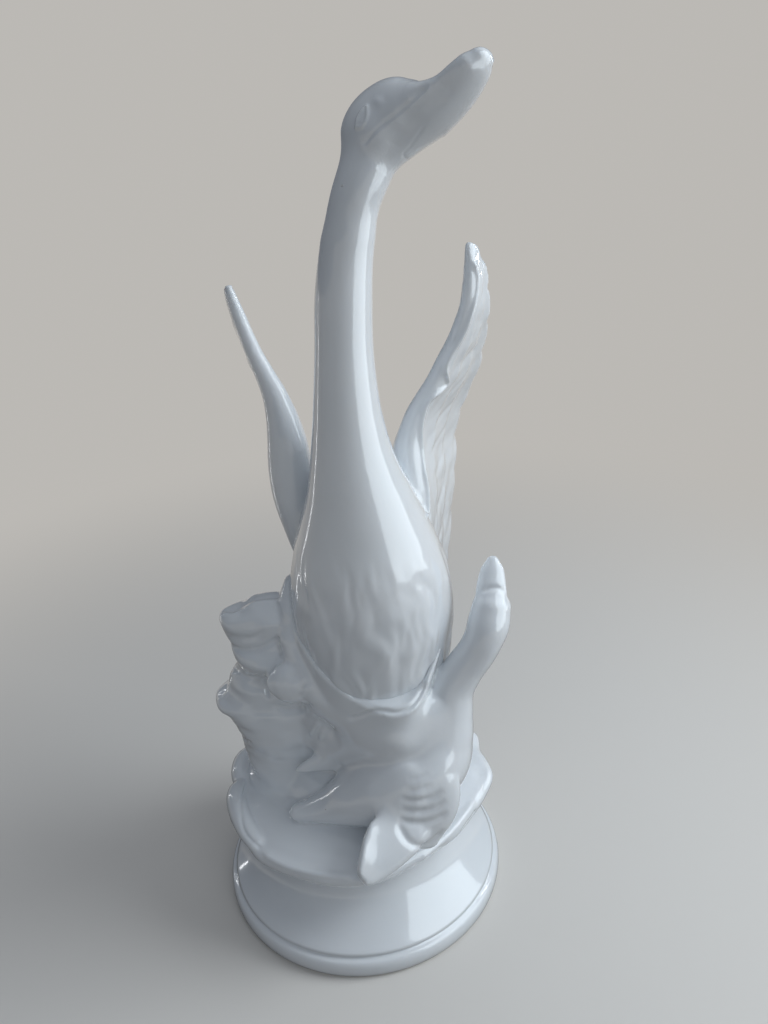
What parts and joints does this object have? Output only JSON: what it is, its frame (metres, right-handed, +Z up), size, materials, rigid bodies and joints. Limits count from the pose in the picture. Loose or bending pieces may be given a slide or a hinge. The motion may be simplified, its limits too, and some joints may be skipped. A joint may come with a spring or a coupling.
{
  "type": "porcelain geese figurine",
  "caption": "Glazed porcelain figurine of a goose with raised wings over a small goose, on a turned round pedestal that is open below.",
  "frame": {"origin": "on the table under the pedestal's axis", "axes": "+Z up; the large goose's breast faces -Y; +X is towards the small goose's head"},
  "size_m": [0.1268, 0.1238, 0.3314],
  "materials": {
    "white_glazed_porcelain": "glossy white glaze, with an unglazed foot ring"
  },
  "bodies": {
    "root": {"geese_figurine": "white_glazed_porcelain"}
  },
  "joints": []
}
